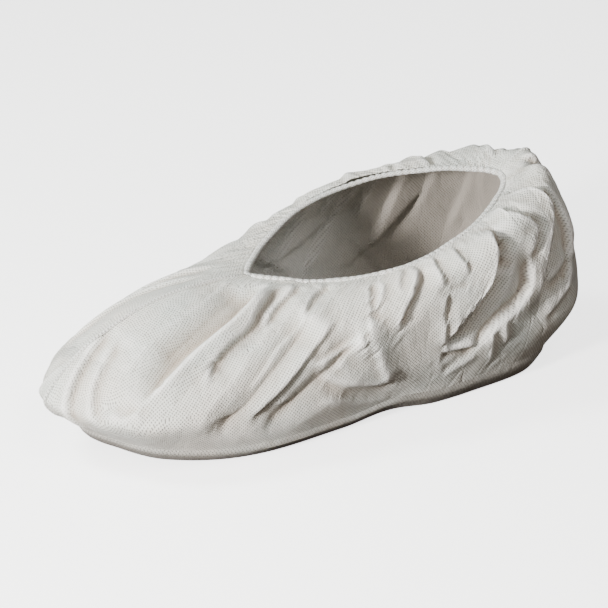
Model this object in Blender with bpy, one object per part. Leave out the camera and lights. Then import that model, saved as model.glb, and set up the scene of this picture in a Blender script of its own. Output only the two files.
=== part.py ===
"""Disposable shoe cover: a loose nonwoven overshoe with a gathered elastic collar.

The cloth is laid out as ribs that fan from the collar down to the edge of the sole.
Around runs from 0 at the toe to 1 at the heel on each side, along from 0 at the collar
to 1 at the base. +X points to the toe, +Y to the left side and +Z up. The origin is
on the floor under the middle of the heel seat. Lengths are in metres.
"""

import math
from collections import namedtuple

import bpy
import numpy as np

# Overall sizes
LENGTH = 0.344  # back of the heel to the tip of the toe, over the cloth
BALL_WIDTH = 0.144  # over the widest part of the cloth
HEEL_HEIGHT = 0.114  # floor to the puffed cloth behind the collar
HEEL_REACH = 0.093  # origin to the back of the heel

# Collar
COLLAR_LENGTH = 0.184
COLLAR_WIDTH = 0.100
COLLAR_REACH = 0.060  # origin to the back of the collar
INSTEP_HEIGHT = 0.081  # floor to the throat of the collar
COLLAR_BACK_HEIGHT = 0.106
COLLAR_LEAN = 0.07  # fall of the collar per metre to the left

# Sole
MARGIN_HEIGHT = 0.010  # turned-up edge of the sole at the heel
MARGIN_LAP = 0.025  # share of a rib that the margin laps
SOLE_CORNER = 0.006  # rounding between the floor and the margin
ARCH_RISE = 0.003
TOE_SPRING = 0.012
HEEL_FLAT_FRONT = 0.030  # the heel seat is flat up to here
FOREFOOT_FLAT_BACK = 0.095
FOREFOOT_FLAT_FRONT = 0.160

# Thicknesses and narrow parts
CLOTH = 0.0005
SOLE_CLOTH = 0.0008
ELASTIC_WIDTH = 0.0030
ELASTIC_HEIGHT = 0.0042
SEAM_WIDTH = 0.0045
SEAM_THICKNESS = 0.0008
GAP = 0.0003  # left between pieces that are sewn together

# Gathers below the elastic
GATHERS = 32
GATHER_DEPTH = 0.0012
GATHER_REACH = 0.06  # share of a rib where they are deepest

# Mesh density
COLUMNS = 4 * GATHERS
ROWS = (0, 0.015, 0.045, 0.09, 0.15, 0.22, 0.30, 0.39, 0.49, 0.59, 0.69, 0.79, 0.89, 1 - MARGIN_LAP, 1)

# Collar points are shares of the collar sizes, the others of LENGTH, half of BALL_WIDTH
# and HEEL_HEIGHT. Base up is a share of MARGIN_HEIGHT, puff one of HEEL_HEIGHT.
Rib = namedtuple(
    "Rib",
    "around collar_along collar_out collar_up shoulder_along shoulder_out shoulder_up "
    "belly_along belly_out belly_up base_along base_out base_up puff",
)
RIBS = (
    Rib(0.00, 1.00, 0.00, 0.00, 0.840, 0.00, 0.66, 1.000, 0.00, 0.34, 0.936, 0.00, 0.6, 0.28),
    Rib(0.10, 0.93, 0.30, 0.00, 0.809, 0.40, 0.62, 0.966, 0.38, 0.30, 0.919, 0.20, 0.6, 0.28),
    Rib(0.22, 0.81, 0.66, 0.04, 0.708, 0.67, 0.56, 0.878, 0.80, 0.29, 0.860, 0.58, 0.6, 0.28),
    Rib(0.36, 0.61, 1.00, 0.28, 0.546, 0.87, 0.62, 0.708, 0.99, 0.30, 0.712, 0.86, 0.6, 0.32),
    Rib(0.52, 0.37, 0.96, 0.62, 0.360, 0.97, 0.73, 0.486, 0.99, 0.32, 0.509, 0.86, 0.7, 0.36),
    Rib(0.68, 0.17, 0.64, 0.86, 0.221, 0.90, 0.83, 0.270, 1.00, 0.34, 0.296, 0.90, 0.9, 0.44),
    Rib(0.85, 0.04, 0.27, 0.96, 0.087, 0.58, 0.93, 0.061, 0.84, 0.38, 0.119, 0.74, 1.0, 0.62),
    Rib(1.00, 0.00, 0.00, 1.00, 0.036, 0.00, 1.00, 0.000, 0.00, 0.42, 0.061, 0.00, 1.0, 0.75),
)
CENTRE_EASE = 0.5  # 0 makes the shape flat across the centre seams, 1 a sharp fold

# Main folds of the cloth. Side is 1 for left and -1 for right. Each one runs from start
# and top to finish and bottom, bowed by bow. Depth is positive for a ridge.
Fold = namedtuple("Fold", "side start top finish bottom bow width depth")
FOLDS = (
    Fold(1, 0.08, 0.04, 0.15, 0.68, 0.01, 0.011, -0.0035),
    Fold(1, 0.14, 0.06, 0.16, 0.80, 0.00, 0.007, 0.0028),
    Fold(1, 0.19, 0.08, 0.18, 0.84, 0.01, 0.010, -0.0030),
    Fold(1, 0.26, 0.06, 0.28, 0.88, 0.02, 0.008, 0.0022),
    Fold(1, 0.28, 0.04, 0.30, 0.92, 0.02, 0.009, -0.0035),
    Fold(1, 0.34, 0.06, 0.53, 0.90, 0.00, 0.008, 0.0026),
    Fold(1, 0.40, 0.28, 0.38, 0.92, 0.02, 0.010, -0.0036),
    Fold(1, 0.45, 0.06, 0.50, 0.62, 0.00, 0.008, -0.0024),
    Fold(1, 0.52, 0.05, 0.60, 0.50, 0.00, 0.008, -0.0020),
    Fold(1, 0.62, 0.06, 0.59, 0.78, 0.03, 0.007, 0.0030),
    Fold(1, 0.65, 0.10, 0.61, 0.82, 0.04, 0.010, -0.0080),
    Fold(1, 0.72, 0.20, 0.66, 0.80, 0.03, 0.008, 0.0034),
    Fold(1, 0.70, 0.03, 0.75, 0.50, 0.03, 0.007, -0.0026),
    Fold(1, 0.77, 0.02, 0.76, 0.60, 0.05, 0.009, 0.0032),
    Fold(1, 0.90, 0.05, 0.84, 0.70, 0.00, 0.009, -0.0030),
    Fold(-1, 0.09, 0.05, 0.17, 0.74, 0.00, 0.011, -0.0034),
    Fold(-1, 0.15, 0.06, 0.22, 0.72, 0.01, 0.009, -0.0024),
    Fold(-1, 0.20, 0.06, 0.28, 0.84, 0.01, 0.008, 0.0020),
    Fold(-1, 0.28, 0.06, 0.38, 0.90, 0.01, 0.010, -0.0034),
    Fold(-1, 0.36, 0.06, 0.45, 0.86, 0.01, 0.008, 0.0022),
    Fold(-1, 0.38, 0.05, 0.47, 0.86, 0.01, 0.009, -0.0034),
    Fold(-1, 0.48, 0.05, 0.54, 0.82, 0.01, 0.009, -0.0036),
    Fold(-1, 0.57, 0.06, 0.59, 0.74, 0.01, 0.009, 0.0022),
    Fold(-1, 0.61, 0.06, 0.60, 0.84, 0.02, 0.010, -0.0046),
    Fold(-1, 0.67, 0.06, 0.67, 0.78, 0.02, 0.009, 0.0022),
    Fold(-1, 0.74, 0.04, 0.70, 0.76, 0.02, 0.010, -0.0036),
    Fold(-1, 0.81, 0.05, 0.77, 0.64, 0.02, 0.010, -0.0024),
)


def clear_scene():
    for old in list(bpy.data.objects):
        bpy.data.objects.remove(old, do_unlink=True)


def unit(vectors):
    return vectors / np.linalg.norm(vectors, axis=-1, keepdims=True)


def hermite(u, start, end, start_slope, end_slope):
    return (
        (2 * u**3 - 3 * u**2 + 1) * start
        + (u**3 - 2 * u**2 + u) * start_slope
        + (3 * u**2 - 2 * u**3) * end
        + (u**3 - u**2) * end_slope
    )


def rib_values(around):
    """The rib table read at any value of around, smooth from rib to rib."""
    table = np.array(RIBS)
    knots, values = table[:, 0], table[:, 1:]
    slopes = np.zeros_like(values)
    slopes[1:-1] = (values[2:] - values[:-2]) / (knots[2:] - knots[:-2])[:, None]
    slopes[0] = (values[1] - values[0]) / (knots[1] - knots[0])
    slopes[-1] = (values[-1] - values[-2]) / (knots[-1] - knots[-2])
    across = [Rib._fields.index(name) - 1 for name in ("collar_out", "shoulder_out", "belly_out", "base_out")]
    eased = [column for column in range(values.shape[1]) if column not in across]
    slopes[0, eased] *= CENTRE_EASE
    slopes[-1, eased] *= CENTRE_EASE
    place = np.clip(np.searchsorted(knots, around, side="right") - 1, 0, len(knots) - 2)
    step = (knots[place + 1] - knots[place])[:, None]
    u = (around[:, None] - knots[place][:, None]) / step
    read = hermite(u, values[place], values[place + 1], slopes[place] * step, slopes[place + 1] * step)
    return {name: read[:, column - 1] for column, name in enumerate(Rib._fields) if column}


def floor_line(along):
    """Height of the underside: flat at the heel and forefoot, raised at arch and toe."""
    arch = np.clip((along - HEEL_FLAT_FRONT) / (FOREFOOT_FLAT_BACK - HEEL_FLAT_FRONT), 0, 1)
    toe = np.clip((along - FOREFOOT_FLAT_FRONT) / (LENGTH - HEEL_REACH - FOREFOOT_FLAT_FRONT), 0, 1)
    return ARCH_RISE * np.sin(math.pi * arch) ** 2 + TOE_SPRING * toe**2


def rib_points(turn):
    """Collar, shoulder, belly and base points of the ribs at each signed turn, and the puff."""
    rib = rib_values(np.abs(turn))
    side = np.where(turn < 0, -1.0, 1.0)
    collar_out = side * rib["collar_out"] * COLLAR_WIDTH / 2
    collar_up = INSTEP_HEIGHT + rib["collar_up"] * (COLLAR_BACK_HEIGHT - INSTEP_HEIGHT)
    collar = (
        rib["collar_along"] * COLLAR_LENGTH - COLLAR_REACH,
        collar_out,
        collar_up - COLLAR_LEAN * collar_out,
    )
    points = [np.stack(collar, 1)]
    for name in ("shoulder", "belly", "base"):
        along = rib[name + "_along"] * LENGTH - HEEL_REACH
        out = side * rib[name + "_out"] * BALL_WIDTH / 2
        if name == "base":
            up = floor_line(along) + rib["base_up"] * MARGIN_HEIGHT
        else:
            up = rib[name + "_up"] * HEEL_HEIGHT
        points.append(np.stack((along, out, up), 1))
    return np.stack(points, 1), rib["puff"] * HEEL_HEIGHT


def smooth_cloth(turn, rows):
    """The cloth without folds: an array of turns by rows by x, y, z."""
    points, puff = rib_points(turn)
    spans = np.linalg.norm(np.diff(points, axis=1), axis=2)
    knots = np.concatenate([np.zeros((len(turn), 1)), np.cumsum(spans, 1)], 1)
    knots /= knots[:, -1:]
    slopes = np.zeros_like(points)
    slopes[:, 1:-1] = (points[:, 2:] - points[:, :-2]) / (knots[:, 2:] - knots[:, :-2])[:, :, None]
    slopes[:, 0] = (points[:, 1] - points[:, 0]) / knots[:, 1:2]
    slopes[:, 0, 2] += puff
    slopes[:, -1] = (points[:, -1] - points[:, -2]) / (1 - knots[:, -2:-1])
    rows = np.asarray(rows, float)[None, :]
    cloth = np.zeros((len(turn), rows.shape[1], 3))
    for part in range(3):
        step = knots[:, part + 1 : part + 2] - knots[:, part : part + 1]
        u = (rows - knots[:, part : part + 1]) / step
        here = (u >= 0) & (u <= 1 + 1e-9)
        piece = hermite(
            u[:, :, None],
            points[:, part : part + 1],
            points[:, part + 1 : part + 2],
            slopes[:, part : part + 1] * step[:, :, None],
            slopes[:, part + 1 : part + 2] * step[:, :, None],
        )
        cloth[here] = piece[here]
    return cloth


def normals(cloth, rows):
    """Outward normals of a cloth grid that closes on itself around."""
    round_it = np.roll(cloth, -1, 0) - np.roll(cloth, 1, 0)
    down_it = np.gradient(cloth, np.asarray(rows, float), axis=1)
    return unit(np.cross(down_it, round_it))


def fold_depth(turn, rows, cloth):
    """How far each point of the cloth is moved out by the folds and gathers."""
    rows = np.asarray(rows, float)
    around = np.abs(turn)[:, None]
    side = np.where(turn < 0, -1, 1)[:, None]
    step = abs(turn[1] - turn[0])
    pitch = np.linalg.norm(np.roll(cloth, -1, 0) - np.roll(cloth, 1, 0), axis=2) / (2 * step)
    depth = np.zeros(cloth.shape[:2])
    for fold in FOLDS:
        u = (rows - fold.top) / (fold.bottom - fold.top)
        centre = fold.start + (fold.finish - fold.start) * u + fold.bow * 4 * u * (1 - u)
        ends = np.sin(math.pi * np.clip(u, 0, 1)) ** 0.7
        away = (around - centre[None, :]) * pitch
        depth += fold.depth * ends[None, :] * np.exp(-((away / fold.width) ** 2)) * (side == fold.side)
    swell = rows / GATHER_REACH * np.exp(1 - rows / GATHER_REACH)
    clear_of_seams = 1 - np.exp(-((around / 0.05) ** 2)) - np.exp(-(((1 - around) / 0.05) ** 2))
    strength = 0.75 + 0.25 * np.sin(23 * turn)[:, None]
    waves = np.cos(math.pi * GATHERS * turn)[:, None]
    depth += GATHER_DEPTH * waves * strength * clear_of_seams * swell[None, :]
    return depth


def turns():
    return 2 * np.arange(COLUMNS) / COLUMNS - np.where(np.arange(COLUMNS) > COLUMNS // 2, 2, 0)


def folded_cloth(smooth):
    depth = fold_depth(turns(), ROWS, smooth)
    return smooth + normals(smooth, ROWS) * depth[:, :, None]


def ring_faces(first, second):
    """Quads between two rings of vertex numbers of the same length."""
    count = len(first)
    faces = []
    for here in range(count):
        after = (here + 1) % count
        faces.append((first[here], second[here], second[after], first[after]))
    return faces


def lofted(rings):
    """Vertices and faces of a closed body made of rings, the last one joined to the first."""
    rings = np.asarray(rings)
    count, size = rings.shape[:2]
    numbers = np.arange(count * size).reshape(count, size)
    faces = []
    for here in range(count):
        faces += ring_faces(numbers[here], numbers[(here + 1) % count])
    return rings.reshape(-1, 3), faces


def material(name, colour, roughness):
    made = bpy.data.materials.new(name)
    made.use_nodes = True
    shader = made.node_tree.nodes["Principled BSDF"]
    shader.inputs["Base Color"].default_value = (*colour, 1)
    shader.inputs["Roughness"].default_value = roughness
    made.diffuse_color = (*colour, 1)
    return made


def add_object(name, vertices, faces, colour, roughness=0.8):
    mesh = bpy.data.meshes.new(name)
    mesh.from_pydata([tuple(map(float, vertex)) for vertex in vertices], [], faces)
    mesh.validate()
    mesh.update()
    mesh.materials.append(material(name, colour, roughness))
    made = bpy.data.objects.new(name, mesh)
    bpy.context.collection.objects.link(made)
    turn_outward(mesh)
    return made


def turn_outward(mesh):
    """Flips every face when the body is inside out."""
    mesh.calc_loop_triangles()
    volume = 0.0
    for triangle in mesh.loop_triangles:
        a, b, c = (mesh.vertices[number].co for number in triangle.vertices)
        volume += a.dot(b.cross(c))
    if volume < 0:
        mesh.flip_normals()


def build_upper(cloth):
    inside = cloth - CLOTH * normals(cloth, ROWS)
    outer = [cloth[:, row] for row in range(len(ROWS))]
    inner = [inside[:, row] for row in reversed(range(len(ROWS)))]
    add_object("upper", *lofted(outer + inner), (0.80, 0.79, 0.77))


def sole_section(cloth, offset, lift):
    """Rings of one face of the sole, from the top of the margin to the floor."""
    out = normals(cloth, ROWS)
    top = cloth[:, -2] + offset * out[:, -2]
    edge = cloth[:, -1] + offset * out[:, -1]
    plan = unit(out[:, -1] * (1, 1, 0))
    ground = edge - plan * SOLE_CORNER
    ground[:, 2] = floor_line(ground[:, 0]) + lift
    corner = edge * (0.72, 0.72, 0) + ground * (0.28, 0.28, 0)
    corner[:, 2] = ground[:, 2] + 0.28 * (edge[:, 2] - ground[:, 2])
    return [top, edge, corner, ground]


def build_sole(cloth):
    outer = sole_section(cloth, GAP + SOLE_CLOTH, 0)
    inner = sole_section(cloth, GAP, SOLE_CLOTH)
    rings = outer[::-1] + inner
    vertices = np.concatenate(rings)
    numbers = np.arange(len(rings) * COLUMNS).reshape(len(rings), COLUMNS)
    faces = []
    for here in range(len(rings) - 1):
        faces += ring_faces(numbers[here], numbers[here + 1])
    faces += bridge(numbers[0], False)
    faces += bridge(numbers[-1], True)
    add_object("sole", vertices, faces, (0.72, 0.71, 0.69))


def bridge(ring, flipped):
    """Faces that close a ring by joining each left point to the right one across."""
    half = COLUMNS // 2
    faces = []
    for here in range(half):
        left, next_left = ring[here], ring[here + 1]
        right, next_right = ring[-here % COLUMNS], ring[-(here + 1) % COLUMNS]
        face = [left, next_left, next_right, right]
        face = list(dict.fromkeys(face))
        faces.append(tuple(reversed(face)) if flipped else tuple(face))
    return faces


def build_collar_elastic(smooth):
    """A bead along the collar that stands on the edge of the cloth."""
    edge = smooth[:, 0]
    up = unit(edge - smooth[:, 1])
    round_it = unit(np.roll(edge, -1, 0) - np.roll(edge, 1, 0))
    out = unit(np.cross(round_it, up))
    up = unit(np.cross(out, round_it))
    middle = edge + up * (GAP + ELASTIC_HEIGHT / 2) - out * CLOTH / 2
    rings = []
    for corner in range(6):
        angle = math.pi / 3 * (corner + 0.5)
        across = math.cos(angle) / math.cos(math.pi / 6) * ELASTIC_WIDTH / 2
        rings.append(middle + out * across + up * math.sin(angle) * ELASTIC_HEIGHT / 2)
    add_object("collar_elastic", *lofted(rings), (0.86, 0.85, 0.83))


def build_seam(name, cloth, column, first, last):
    """A thin raised strip on the cloth that follows one of the centre lines."""
    before, after = (column - 1) % COLUMNS, (column + 1) % COLUMNS
    out = normals(cloth, ROWS)
    sections = []
    for row in range(first, last + 1):
        middle = cloth[column, row]
        beside = []
        for other in (before, after):
            share = SEAM_WIDTH / 2 / np.linalg.norm(cloth[other, row] - middle)
            beside.append(middle + (cloth[other, row] - middle) * share)
        line = np.array([beside[0], middle, beside[1]])
        low = line + out[column, row] * GAP
        high = line + out[column, row] * (GAP + SEAM_THICKNESS)
        sections.append(np.concatenate([low, high[::-1]]))
    vertices = np.concatenate(sections)
    numbers = np.arange(len(vertices)).reshape(-1, 6)
    faces = [tuple(numbers[0][::-1]), tuple(numbers[-1])]
    for here in range(len(sections) - 1):
        faces += ring_faces(numbers[here + 1], numbers[here])
    add_object(name, vertices, faces, (0.84, 0.83, 0.81))


def main():
    clear_scene()
    smooth = smooth_cloth(turns(), ROWS)
    cloth = folded_cloth(smooth)
    build_upper(cloth)
    build_sole(cloth)
    build_collar_elastic(smooth)
    build_seam("vamp_seam", cloth, 0, 1, 11)
    build_seam("heel_seam", cloth, COLUMNS // 2, 1, 12)


main()
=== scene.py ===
"""Looks of the disposable shoe cover: relaxed and creased cloth, hem, seams and sole.

Around runs from 0 at the toe to 1 at the heel on each side, along from 0 at the collar
to 1 at the base. A turn is around with a minus on the right side. The cloth is a grid of
columns (turns) by rows (values of along). Lengths are in metres unless a comment says mm.
"""

import math
from collections import namedtuple

import bpy
import numpy as np
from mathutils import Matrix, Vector


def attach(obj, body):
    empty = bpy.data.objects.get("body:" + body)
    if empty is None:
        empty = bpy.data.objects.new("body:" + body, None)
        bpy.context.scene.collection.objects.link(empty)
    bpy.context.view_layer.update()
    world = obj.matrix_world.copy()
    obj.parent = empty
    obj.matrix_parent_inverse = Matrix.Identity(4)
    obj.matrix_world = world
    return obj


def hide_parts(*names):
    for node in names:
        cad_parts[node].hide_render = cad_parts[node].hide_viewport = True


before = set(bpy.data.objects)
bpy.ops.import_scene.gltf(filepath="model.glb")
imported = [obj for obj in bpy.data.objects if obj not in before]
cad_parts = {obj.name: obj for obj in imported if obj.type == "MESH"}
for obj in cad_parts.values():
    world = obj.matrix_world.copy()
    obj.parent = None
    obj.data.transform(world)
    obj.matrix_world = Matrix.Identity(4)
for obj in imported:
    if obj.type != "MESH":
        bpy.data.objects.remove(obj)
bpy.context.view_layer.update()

# Overall sizes, as in the CAD source
LENGTH = 0.344
BALL_WIDTH = 0.144
HEEL_HEIGHT = 0.114
HEEL_REACH = 0.093
COLLAR_LENGTH = 0.184
COLLAR_WIDTH = 0.100
COLLAR_REACH = 0.060
INSTEP_HEIGHT = 0.081
COLLAR_BACK_HEIGHT = 0.106
COLLAR_LEAN = 0.07
MARGIN_HEIGHT = 0.010
MARGIN_LAP = 0.025
SOLE_CORNER = 0.006
ARCH_RISE = 0.003
TOE_SPRING = 0.012
HEEL_FLAT_FRONT = 0.030
FOREFOOT_FLAT_BACK = 0.095
FOREFOOT_FLAT_FRONT = 0.160
CLOTH = 0.0005
SOLE_CLOTH = 0.0008
ELASTIC_WIDTH = 0.0030
ELASTIC_HEIGHT = 0.0042
GAP = 0.0003
CENTRE_EASE = 0.5

# Mesh of the upper
COLUMNS = 672
ROWS = 97
ROW_POWER = 1.12  # crowds the rows towards the collar
LEFT_PARTS, ALL_PARTS = 25, 42  # the left side, seen in the photo, has more

Rib = namedtuple(
    "Rib",
    "around collar_along collar_out collar_up shoulder_along shoulder_out shoulder_up "
    "belly_along belly_out belly_up base_along base_out base_up puff",
)
RIBS = (
    Rib(0.00, 1.00, 0.00, 0.00, 0.840, 0.00, 0.66, 1.000, 0.00, 0.34, 0.936, 0.00, 0.6, 0.28),
    Rib(0.10, 0.93, 0.30, 0.00, 0.809, 0.40, 0.62, 0.966, 0.38, 0.30, 0.919, 0.20, 0.6, 0.28),
    Rib(0.22, 0.81, 0.66, 0.04, 0.708, 0.67, 0.56, 0.878, 0.80, 0.29, 0.860, 0.58, 0.6, 0.28),
    Rib(0.36, 0.61, 1.00, 0.28, 0.546, 0.87, 0.62, 0.708, 0.99, 0.30, 0.712, 0.86, 0.6, 0.32),
    Rib(0.52, 0.37, 0.96, 0.62, 0.360, 0.97, 0.73, 0.486, 0.99, 0.32, 0.509, 0.86, 0.7, 0.36),
    Rib(0.68, 0.17, 0.64, 0.86, 0.221, 0.90, 0.83, 0.270, 1.00, 0.34, 0.296, 0.90, 0.9, 0.44),
    Rib(0.85, 0.04, 0.27, 0.96, 0.087, 0.58, 0.93, 0.061, 0.84, 0.38, 0.119, 0.74, 1.0, 0.62),
    Rib(1.00, 0.00, 0.00, 1.00, 0.036, 0.00, 1.00, 0.000, 0.00, 0.42, 0.061, 0.00, 1.0, 0.75),
)

# Creases of the cloth, listed one by one. Path holds (around, along) points. Before and
# after are the heights just on the toe and on the heel side of the line, and each
# fades out over its own reach. Heights and reaches are in millimetres.
Crease = namedtuple("Crease", "side path before after reach_before reach_after")


def creases(side, *lines):
    return [Crease(side, *line) for line in lines]


LEFT_CREASES = creases(
    1,
    # vamp ridge and the valley above it
    (((0.11, 0.06), (0.145, 0.28), (0.15, 0.5), (0.162, 0.74)), -4.6, 2.6, 12, 8),
    (((0.07, 0.1), (0.11, 0.35), (0.13, 0.6)), -1.5, -1.5, 14, 10),
    (((0.162, 0.74), (0.15, 0.785), (0.122, 0.77)), -0.8, 1.0, 5, 5),
    # folds from the collar that fade over the side of the toe
    (((0.138, 0.05), (0.172, 0.23), (0.191, 0.33), (0.197, 0.49), (0.23, 0.64)), 1.0, -2.1, 8, 9),
    (((0.172, 0.03), (0.188, 0.17), (0.203, 0.26), (0.212, 0.31)), 1.8, -2.2, 4, 5),
    (((0.231, 0.02), (0.241, 0.13), (0.269, 0.26), (0.287, 0.3)), 0.8, -2.0, 5, 5),
    # ridge and broad valley below the throat
    (((0.255, 0.14), (0.272, 0.28), (0.275, 0.42), (0.294, 0.58), (0.297, 0.7)), 0.4, 1.4, 8, 6),
    (
        ((0.281, 0.26), (0.3, 0.47), (0.312, 0.62), (0.319, 0.72), (0.316, 0.8), (0.287, 0.95)),
        -3.2, -3.2, 9, 11,
    ),
    # creases at the side of the collar
    (((0.331, 0.08), (0.381, 0.26), (0.422, 0.42)), 0.4, -2.0, 6, 4),
    (((0.36, 0.1), (0.388, 0.2), (0.419, 0.4)), 1.2, -0.6, 4, 6),
    # star below them
    (((0.416, 0.44), (0.4, 0.53), (0.376, 0.6)), -1.0, 1.4, 7, 9),
    (((0.428, 0.5), (0.419, 0.64), (0.403, 0.77), (0.388, 0.84), (0.345, 0.94)), -3.6, -3.6, 9, 10),
    (((0.422, 0.48), (0.425, 0.667)), -0.6, 1.2, 7, 9),
    (((0.41, 0.7), (0.47, 0.79), (0.545, 0.86)), -0.7, 0.9, 9, 11),
    (((0.43, 0.8), (0.5, 0.9), (0.56, 0.965)), 0.8, -0.8, 8, 7),
    (((0.4, 0.33), (0.428, 0.475), (0.484, 0.658), (0.537, 0.867)), 0.4, 1.8, 7, 11),
    # creases along the middle of the collar
    (((0.437, 0.1), (0.447, 0.175), (0.463, 0.31), (0.475, 0.44), (0.503, 0.55)), 1.6, -2.0, 6, 7),
    (((0.39, 0.05), (0.425, 0.24)), 0.8, -1.0, 6, 5),
    (((0.46, 0.05), (0.472, 0.12), (0.534, 0.36)), 0.9, -1.4, 6, 6),
    (((0.51, 0.06), (0.525, 0.14), (0.581, 0.36)), 0.9, -1.4, 6, 6),
    (((0.541, 0.38), (0.588, 0.42)), 0.8, -1.0, 4, 4),
    (((0.541, 0.38), (0.566, 0.54), (0.591, 0.68), (0.6, 0.74)), 1.0, -1.0, 7, 5),
    # the deep pocket with its lip, and the ridge behind it
    (
        ((0.625, 0.12), (0.634, 0.3), (0.637, 0.47), (0.619, 0.56), (0.603, 0.64), (0.6, 0.755)),
        3.5, -8.0, 10, 10,
    ),
    (((0.634, 0.2), (0.662, 0.36), (0.694, 0.45)), -3.0, -1.0, 4, 5),
    (
        ((0.729, 0.4), (0.725, 0.5), (0.725, 0.567), (0.703, 0.633), (0.669, 0.69), (0.65, 0.8)),
        -2.6, 2.2, 8, 11,
    ),
    (((0.669, 0.03), (0.7, 0.16), (0.744, 0.28), (0.75, 0.34), (0.725, 0.46)), 2.4, -1.6, 8, 6),
    (
        (
            (0.735, 0.02), (0.8, 0.125), (0.819, 0.23), (0.819, 0.29),
            (0.787, 0.39), (0.772, 0.45), (0.757, 0.53), (0.747, 0.68),
        ),
        2.4, -3.6, 7, 13,
    ),
    # tucks at the foot of the heel
    (((0.594, 0.75), (0.653, 0.767)), -2.5, 2.5, 5, 5),
    (((0.612, 0.88), (0.656, 0.792)), 1.2, -1.6, 5, 5),
    (((0.691, 0.68), (0.713, 0.82)), 1.6, -0.8, 4, 5),
    (((0.669, 0.71), (0.706, 0.933)), 1.4, -1.2, 4, 5),
    (((0.845, 0.5), (0.766, 0.6)), 0.9, -0.8, 8, 8),
    (((0.825, 0.62), (0.765, 0.74)), 0.9, -0.8, 8, 8),
    (((0.93, 0.06), (0.91, 0.3), (0.86, 0.52)), 1.8, -2.2, 8, 9),
    (((0.86, 0.16), (0.862, 0.34), (0.83, 0.5), (0.8, 0.66)), -1.8, 1.4, 9, 7),
    (((0.965, 0.06), (0.955, 0.3), (0.965, 0.56)), -1.8, 1.6, 8, 8),
    # long low folds between the collar and the side of the toe
    (((0.34, 0.3), (0.352, 0.5), (0.358, 0.7), (0.335, 0.9)), 1.4, -1.0, 9, 9),
    # toe
    (((0.0, 0.5), (0.03, 0.68), (0.06, 0.84), (0.085, 0.95)), 0.9, -1.3, 7, 13),
    (((0.03, 0.52), (0.075, 0.72), (0.13, 0.88)), 0.5, -0.9, 7, 12),
)
RIGHT_CREASES = creases(
    -1,
    (((0.09, 0.1), (0.13, 0.4), (0.17, 0.74)), -2.8, 1.8, 11, 9),
    (((0.15, 0.1), (0.19, 0.4), (0.22, 0.7)), 1.4, -2.6, 8, 9),
    (((0.21, 0.1), (0.26, 0.4), (0.29, 0.78)), 2.0, -2.4, 8, 8),
    (((0.27, 0.1), (0.33, 0.35), (0.37, 0.66), (0.38, 0.88)), 1.8, -3.2, 8, 10),
    (((0.33, 0.1), (0.4, 0.3)), 2.4, -2.0, 5, 5),
    (((0.36, 0.1), (0.43, 0.45), (0.46, 0.84)), 3.4, -3.4, 9, 9),
    (((0.43, 0.1), (0.47, 0.25), (0.48, 0.42)), 1.6, -2.2, 5, 5),
    (((0.48, 0.1), (0.53, 0.4), (0.54, 0.8)), 2.6, -3.6, 8, 10),
    (((0.54, 0.1), (0.58, 0.3), (0.59, 0.52)), 2.0, -1.6, 5, 6),
    (((0.6, 0.1), (0.62, 0.4), (0.6, 0.82)), 3.8, -4.6, 9, 10),
    (((0.66, 0.1), (0.68, 0.3), (0.66, 0.6)), 2.2, -2.6, 6, 7),
    (((0.73, 0.1), (0.74, 0.35), (0.7, 0.76)), 3.0, -3.6, 8, 10),
    (((0.8, 0.1), (0.8, 0.35), (0.77, 0.62)), 2.2, -2.4, 7, 8),
    (((0.88, 0.1), (0.87, 0.4), (0.83, 0.72)), 2.4, -2.6, 8, 9),
    (((0.95, 0.08), (0.94, 0.4)), 1.2, -1.6, 6, 6),
    (((0.45, 0.62), (0.5, 0.78), (0.53, 0.92)), 1.6, -1.4, 5, 6),
    (((0.66, 0.62), (0.72, 0.8), (0.74, 0.93)), 1.6, -1.4, 6, 6),
    (((0.2, 0.66), (0.25, 0.82), (0.26, 0.93)), 1.2, -1.4, 6, 6),
    # puffs that stand above the rim
    (((0.42, 0.15), (0.47, 0.1), (0.53, 0.1), (0.57, 0.15)), 5.5, 5.0, 9, 10),
    (((0.53, 0.13), (0.57, 0.07), (0.61, 0.07), (0.64, 0.12)), 5.0, 4.5, 7, 8),
    (((0.63, 0.09), (0.68, 0.07), (0.72, 0.1)), 3.5, 3.0, 6, 7),
    (((0.7, 0.02), (0.75, 0.17)), 2.6, -4.0, 4, 4),
    (((0.33, 0.05), (0.37, 0.12), (0.43, 0.13)), 3.0, 2.0, 5, 7),
    # folds across the others
    (((0.24, 0.3), (0.3, 0.48), (0.41, 0.62)), 2.8, -2.6, 8, 10),
    (((0.42, 0.52), (0.5, 0.6), (0.585, 0.78)), 3.2, -3.0, 8, 9),
    (((0.66, 0.36), (0.6, 0.55), (0.5, 0.7)), -2.6, 3.0, 9, 8),
    (((0.8, 0.44), (0.74, 0.62), (0.66, 0.84)), -3.0, 3.2, 9, 9),
    (((0.05, 0.14), (0.085, 0.42), (0.1, 0.7)), -2.6, 1.6, 11, 8),
    (((0.02, 0.66), (0.06, 0.8), (0.1, 0.91)), 2.0, -2.6, 7, 8),
    (((0.12, 0.62), (0.17, 0.74), (0.2, 0.9)), 1.8, -2.4, 7, 8),
    (((0.3, 0.6), (0.31, 0.76), (0.335, 0.93)), -2.0, 2.4, 8, 8),
    # heel
    (((0.93, 0.04), (0.9, 0.22), (0.89, 0.46), (0.91, 0.66)), 3.4, -3.6, 8, 9),
    (((0.975, 0.1), (0.96, 0.34), (0.97, 0.58)), -2.4, 2.4, 8, 8),
    (((0.86, 0.6), (0.9, 0.76), (0.97, 0.88)), 2.4, -2.6, 8, 9),
)
FACET = 1.7  # width of the facet beside a crease, in reaches
FACET_POWER = 1.25  # hollows the facet
BROAD_REACH = 6  # mm, farther is broad
CREASE_STRENGTH = {(1, True): 1.7, (1, False): 1.05, (-1, True): 0.65, (-1, False): 0.7}
CREASE_SOFT = 0.0015  # half width of the line
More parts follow.
